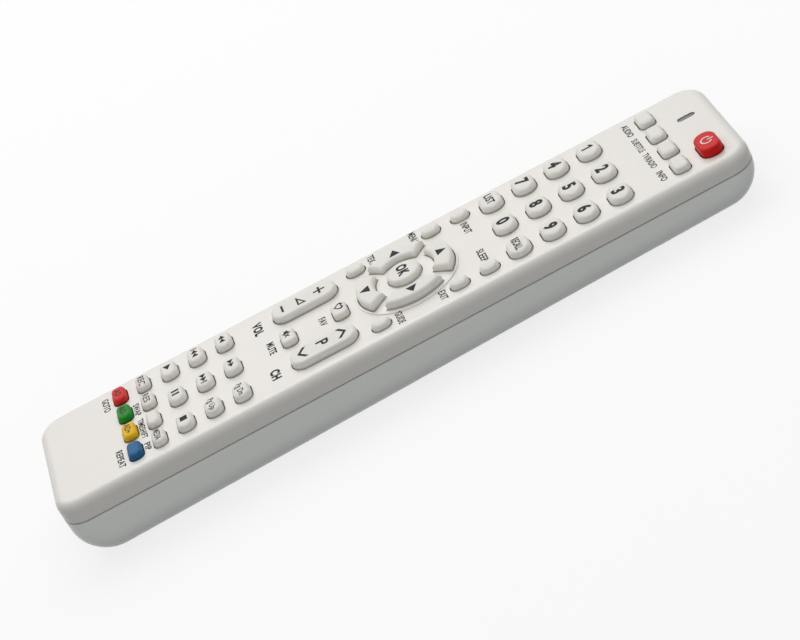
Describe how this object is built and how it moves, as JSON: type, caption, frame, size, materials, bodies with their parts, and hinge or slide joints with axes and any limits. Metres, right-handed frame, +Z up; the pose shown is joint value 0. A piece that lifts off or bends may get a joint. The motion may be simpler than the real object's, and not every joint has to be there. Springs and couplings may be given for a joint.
{
  "type": "universal remote control",
  "caption": "Slim white handheld remote control with a full field of silicone keys, a direction pad, two rockers and a sliding battery cover.",
  "frame": {"origin": "middle of the plane that the underside rests on, at the middle of the length and width", "axes": "+Z up out of the key face, +Y towards the top end that points at the television, +X to the right of the key face"},
  "size_m": [0.048, 0.2101, 0.0232],
  "materials": {
    "white_case": "semi-gloss moulded plastic",
    "grey_silicone": "matte moulded silicone",
    "power_red": "satin moulded silicone",
    "red_silicone": "satin moulded silicone",
    "green_silicone": "satin moulded silicone",
    "yellow_silicone": "satin moulded silicone",
    "blue_silicone": "satin moulded silicone",
    "board": "resin laminate with solder mask",
    "dark_lens": "dark clear resin",
    "cell_sleeve": "printed sleeve on a steel can",
    "contact_steel": "nickel-plated spring steel"
  },
  "bodies": {
    "case": {"top_case": "white_case", "bottom_case": "white_case", "keypad_mat": "grey_silicone", "circuit_board": "board", "ir_emitter": "dark_lens", "battery_left": "cell_sleeve", "battery_right": "cell_sleeve", "bridge_contact": "contact_steel", "plus_terminal": "contact_steel", "minus_terminal": "contact_steel"},
    "battery_cover": {"battery_cover": "white_case"},
    "volume_rocker": {"volume_rocker": "grey_silicone"},
    "channel_rocker": {"channel_rocker": "grey_silicone"},
    "pad_right": {"pad_right": "grey_silicone"},
    "pad_up": {"pad_up": "grey_silicone"},
    "pad_left": {"pad_left": "grey_silicone"},
    "pad_down": {"pad_down": "grey_silicone"},
    "key_ok": {"key_ok": "grey_silicone"},
    "key_power": {"key_power": "power_red"},
    "key_favourite": {"key_favourite": "grey_silicone"},
    "key_mute": {"key_mute": "grey_silicone"},
    "key_1": {"key_1": "grey_silicone"},
    "key_2": {"key_2": "grey_silicone"},
    "key_3": {"key_3": "grey_silicone"},
    "key_4": {"key_4": "grey_silicone"},
    "key_5": {"key_5": "grey_silicone"},
    "key_6": {"key_6": "grey_silicone"},
    "key_7": {"key_7": "grey_silicone"},
    "key_8": {"key_8": "grey_silicone"},
    "key_9": {"key_9": "grey_silicone"},
    "key_list": {"key_list": "grey_silicone"},
    "key_0": {"key_0": "grey_silicone"},
    "key_recall": {"key_recall": "grey_silicone"},
    "key_audio": {"key_audio": "grey_silicone"},
    "key_subtitle": {"key_subtitle": "grey_silicone"},
    "key_tv_radio": {"key_tv_radio": "grey_silicone"},
    "key_info": {"key_info": "grey_silicone"},
    "key_input": {"key_input": "grey_silicone"},
    "key_sleep": {"key_sleep": "grey_silicone"},
    "key_menu": {"key_menu": "grey_silicone"},
    "key_exit": {"key_exit": "grey_silicone"},
    "key_text": {"key_text": "grey_silicone"},
    "key_guide": {"key_guide": "grey_silicone"},
    "key_rewind": {"key_rewind": "grey_silicone"},
    "key_forward": {"key_forward": "grey_silicone"},
    "key_page_down": {"key_page_down": "grey_silicone"},
    "key_previous": {"key_previous": "grey_silicone"},
    "key_next": {"key_next": "grey_silicone"},
    "key_page_up": {"key_page_up": "grey_silicone"},
    "key_play": {"key_play": "grey_silicone"},
    "key_pause": {"key_pause": "grey_silicone"},
    "key_stop": {"key_stop": "grey_silicone"},
    "key_record": {"key_record": "grey_silicone"},
    "key_resume": {"key_resume": "grey_silicone"},
    "key_swap": {"key_swap": "grey_silicone"},
    "key_media": {"key_media": "grey_silicone"},
    "key_red": {"key_red": "red_silicone"},
    "key_green": {"key_green": "green_silicone"},
    "key_yellow": {"key_yellow": "yellow_silicone"},
    "key_blue": {"key_blue": "blue_silicone"}
  },
  "joints": [
    {"name": "cover_slide", "type": "slide", "parent": "case", "child": "battery_cover", "axis": [0, -1, 0], "range_m": [0, 0.075]},
    {"name": "volume_rocker_tip", "type": "hinge", "parent": "case", "child": "volume_rocker", "pos_m": [-0.01345, -0.0209, 0.01868], "axis": [1, 0, 0], "range_deg": [-2.5, 2.5], "stiffness_Nm_per_rad": 0.18},
    {"name": "channel_rocker_tip", "type": "hinge", "parent": "case", "child": "channel_rocker", "pos_m": [0.01345, -0.0209, 0.01868], "axis": [1, 0, 0], "range_deg": [-2.5, 2.5], "stiffness_Nm_per_rad": 0.18},
    {"name": "pad_right_press", "type": "slide", "parent": "case", "child": "pad_right", "axis": [0, -0.0279, -0.9996], "range_m": [0, 0.0008], "stiffness_N_per_m": 1200},
    {"name": "pad_up_press", "type": "slide", "parent": "case", "child": "pad_up", "axis": [0, -0.0279, -0.9996], "range_m": [0, 0.0008], "stiffness_N_per_m": 1200},
    {"name": "pad_left_press", "type": "slide", "parent": "case", "child": "pad_left", "axis": [0, -0.0279, -0.9996], "range_m": [0, 0.0008], "stiffness_N_per_m": 1200},
    {"name": "pad_down_press", "type": "slide", "parent": "case", "child": "pad_down", "axis": [0, -0.0279, -0.9996], "range_m": [0, 0.0008], "stiffness_N_per_m": 1200},
    {"name": "key_ok_press", "type": "slide", "parent": "case", "child": "key_ok", "axis": [0, -0.0279, -0.9996], "range_m": [0, 0.0008], "stiffness_N_per_m": 1200},
    {"name": "key_power_press", "type": "slide", "parent": "case", "child": "key_power", "axis": [0, -0.0279, -0.9996], "range_m": [0, 0.0008], "stiffness_N_per_m": 1200},
    {"name": "key_favourite_press", "type": "slide", "parent": "case", "child": "key_favourite", "axis": [0, -0.0279, -0.9996], "range_m": [0, 0.0008], "stiffness_N_per_m": 1200},
    {"name": "key_mute_press", "type": "slide", "parent": "case", "child": "key_mute", "axis": [0, -0.0279, -0.9996], "range_m": [0, 0.0008], "stiffness_N_per_m": 1200},
    {"name": "key_1_press", "type": "slide", "parent": "case", "child": "key_1", "axis": [0, -0.0279, -0.9996], "range_m": [0, 0.0008], "stiffness_N_per_m": 1200},
    {"name": "key_2_press", "type": "slide", "parent": "case", "child": "key_2", "axis": [0, -0.0279, -0.9996], "range_m": [0, 0.0008], "stiffness_N_per_m": 1200},
    {"name": "key_3_press", "type": "slide", "parent": "case", "child": "key_3", "axis": [0, -0.0279, -0.9996], "range_m": [0, 0.0008], "stiffness_N_per_m": 1200},
    {"name": "key_4_press", "type": "slide", "parent": "case", "child": "key_4", "axis": [0, -0.0279, -0.9996], "range_m": [0, 0.0008], "stiffness_N_per_m": 1200},
    {"name": "key_5_press", "type": "slide", "parent": "case", "child": "key_5", "axis": [0, -0.0279, -0.9996], "range_m": [0, 0.0008], "stiffness_N_per_m": 1200},
    {"name": "key_6_press", "type": "slide", "parent": "case", "child": "key_6", "axis": [0, -0.0279, -0.9996], "range_m": [0, 0.0008], "stiffness_N_per_m": 1200},
    {"name": "key_7_press", "type": "slide", "parent": "case", "child": "key_7", "axis": [0, -0.0279, -0.9996], "range_m": [0, 0.0008], "stiffness_N_per_m": 1200},
    {"name": "key_8_press", "type": "slide", "parent": "case", "child": "key_8", "axis": [0, -0.0279, -0.9996], "range_m": [0, 0.0008], "stiffness_N_per_m": 1200},
    {"name": "key_9_press", "type": "slide", "parent": "case", "child": "key_9", "axis": [0, -0.0279, -0.9996], "range_m": [0, 0.0008], "stiffness_N_per_m": 1200},
    {"name": "key_list_press", "type": "slide", "parent": "case", "child": "key_list", "axis": [0, -0.0279, -0.9996], "range_m": [0, 0.0008], "stiffness_N_per_m": 1200},
    {"name": "key_0_press", "type": "slide", "parent": "case", "child": "key_0", "axis": [0, -0.0279, -0.9996], "range_m": [0, 0.0008], "stiffness_N_per_m": 1200},
    {"name": "key_recall_press", "type": "slide", "parent": "case", "child": "key_recall", "axis": [0, -0.0279, -0.9996], "range_m": [0, 0.0008], "stiffness_N_per_m": 1200},
    {"name": "key_audio_press", "type": "slide", "parent": "case", "child": "key_audio", "axis": [0, -0.0279, -0.9996], "range_m": [0, 0.0008], "stiffness_N_per_m": 1200},
    {"name": "key_subtitle_press", "type": "slide", "parent": "case", "child": "key_subtitle", "axis": [0, -0.0279, -0.9996], "range_m": [0, 0.0008], "stiffness_N_per_m": 1200},
    {"name": "key_tv_radio_press", "type": "slide", "parent": "case", "child": "key_tv_radio", "axis": [0, -0.0279, -0.9996], "range_m": [0, 0.0008], "stiffness_N_per_m": 1200},
    {"name": "key_info_press", "type": "slide", "parent": "case", "child": "key_info", "axis": [0, -0.0279, -0.9996], "range_m": [0, 0.0008], "stiffness_N_per_m": 1200},
    {"name": "key_input_press", "type": "slide", "parent": "case", "child": "key_input", "axis": [0, -0.0279, -0.9996], "range_m": [0, 0.0008], "stiffness_N_per_m": 1200},
    {"name": "key_sleep_press", "type": "slide", "parent": "case", "child": "key_sleep", "axis": [0, -0.0279, -0.9996], "range_m": [0, 0.0008], "stiffness_N_per_m": 1200},
    {"name": "key_menu_press", "type": "slide", "parent": "case", "child": "key_menu", "axis": [0, -0.0279, -0.9996], "range_m": [0, 0.0008], "stiffness_N_per_m": 1200},
    {"name": "key_exit_press", "type": "slide", "parent": "case", "child": "key_exit", "axis": [0, -0.0279, -0.9996], "range_m": [0, 0.0008], "stiffness_N_per_m": 1200},
    {"name": "key_text_press", "type": "slide", "parent": "case", "child": "key_text", "axis": [0, -0.0279, -0.9996], "range_m": [0, 0.0008], "stiffness_N_per_m": 1200},
    {"name": "key_guide_press", "type": "slide", "parent": "case", "child": "key_guide", "axis": [0, -0.0279, -0.9996], "range_m": [0, 0.0008], "stiffness_N_per_m": 1200},
    {"name": "key_rewind_press", "type": "slide", "parent": "case", "child": "key_rewind", "axis": [0, -0.0279, -0.9996], "range_m": [0, 0.0008], "stiffness_N_per_m": 1200},
    {"name": "key_forward_press", "type": "slide", "parent": "case", "child": "key_forward", "axis": [0, -0.0279, -0.9996], "range_m": [0, 0.0008], "stiffness_N_per_m": 1200},
    {"name": "key_page_down_press", "type": "slide", "parent": "case", "child": "key_page_down", "axis": [0, -0.0279, -0.9996], "range_m": [0, 0.0008], "stiffness_N_per_m": 1200},
    {"name": "key_previous_press", "type": "slide", "parent": "case", "child": "key_previous", "axis": [0, -0.0279, -0.9996], "range_m": [0, 0.0008], "stiffness_N_per_m": 1200},
    {"name": "key_next_press", "type": "slide", "parent": "case", "child": "key_next", "axis": [0, -0.0279, -0.9996], "range_m": [0, 0.0008], "stiffness_N_per_m": 1200},
    {"name": "key_page_up_press", "type": "slide", "parent": "case", "child": "key_page_up", "axis": [0, -0.0279, -0.9996], "range_m": [0, 0.0008], "stiffness_N_per_m": 1200},
    {"name": "key_play_press", "type": "slide", "parent": "case", "child": "key_play", "axis": [0, -0.0279, -0.9996], "range_m": [0, 0.0008], "stiffness_N_per_m": 1200},
    {"name": "key_pause_press", "type": "slide", "parent": "case", "child": "key_pause", "axis": [0, -0.0279, -0.9996], "range_m": [0, 0.0008], "stiffness_N_per_m": 1200},
    {"name": "key_stop_press", "type": "slide", "parent": "case", "child": "key_stop", "axis": [0, -0.0279, -0.9996], "range_m": [0, 0.0008], "stiffness_N_per_m": 1200},
    {"name": "key_record_press", "type": "slide", "parent": "case", "child": "key_record", "axis": [0, -0.0279, -0.9996], "range_m": [0, 0.0008], "stiffness_N_per_m": 1200},
    {"name": "key_resume_press", "type": "slide", "parent": "case", "child": "key_resume", "axis": [0, -0.0279, -0.9996], "range_m": [0, 0.0008], "stiffness_N_per_m": 1200},
    {"name": "key_swap_press", "type": "slide", "parent": "case", "child": "key_swap", "axis": [0, -0.0279, -0.9996], "range_m": [0, 0.0008], "stiffness_N_per_m": 1200},
    {"name": "key_media_press", "type": "slide", "parent": "case", "child": "key_media", "axis": [0, -0.0279, -0.9996], "range_m": [0, 0.0008], "stiffness_N_per_m": 1200},
    {"name": "key_red_press", "type": "slide", "parent": "case", "child": "key_red", "axis": [0, -0.0279, -0.9996], "range_m": [0, 0.0008], "stiffness_N_per_m": 1200},
    {"name": "key_green_press", "type": "slide", "parent": "case", "child": "key_green", "axis": [0, -0.0279, -0.9996], "range_m": [0, 0.0008], "stiffness_N_per_m": 1200},
    {"name": "key_yellow_press", "type": "slide", "parent": "case", "child": "key_yellow", "axis": [0, -0.0279, -0.9996], "range_m": [0, 0.0008], "stiffness_N_per_m": 1200},
    {"name": "key_blue_press", "type": "slide", "parent": "case", "child": "key_blue", "axis": [0, -0.0279, -0.9996], "range_m": [0, 0.0008], "stiffness_N_per_m": 1200}
  ]
}
